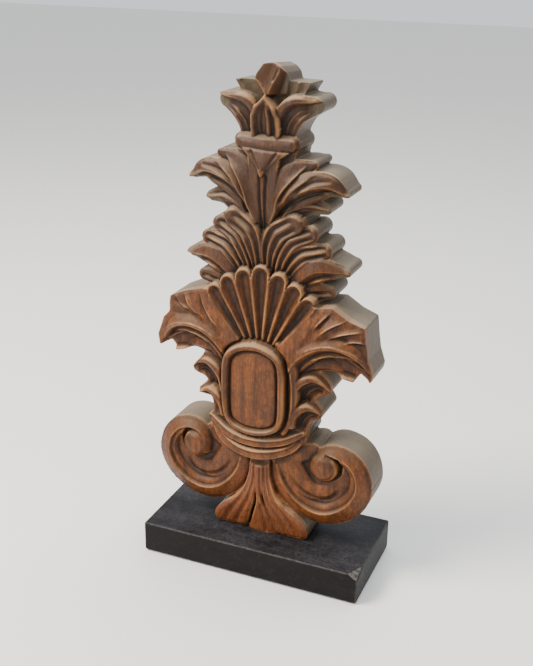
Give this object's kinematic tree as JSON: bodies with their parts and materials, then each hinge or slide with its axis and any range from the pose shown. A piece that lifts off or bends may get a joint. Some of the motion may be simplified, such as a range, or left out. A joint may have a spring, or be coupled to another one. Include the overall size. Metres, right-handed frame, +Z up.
{
  "type": "carved ornament on stand",
  "caption": "Carved wooden crest with leaf tiers, a fluted shell, a blank oval panel and scroll volutes, screwed onto a rectangular black block.",
  "frame": {"origin": "middle of the footprint, on the surface the felt pads stand on", "axes": "+Z up, -Y towards the carved front, +X to the viewer's right when facing the front"},
  "size_m": [0.2, 0.094, 0.4325],
  "materials": {
    "carved_wood": "waxed carved hardwood, darker in the cuts, dusty on the upward faces",
    "painted_wood": "worn black satin paint",
    "screw_steel": "zinc plated",
    "pad_felt": "pressed felt"
  },
  "bodies": {
    "root": {"carving": "carved_wood", "plinth": "painted_wood", "mounting_screw_left": "screw_steel", "mounting_screw_right": "screw_steel", "felt_pad_front_left": "pad_felt", "felt_pad_front_right": "pad_felt", "felt_pad_back_left": "pad_felt", "felt_pad_back_right": "pad_felt"}
  },
  "joints": []
}
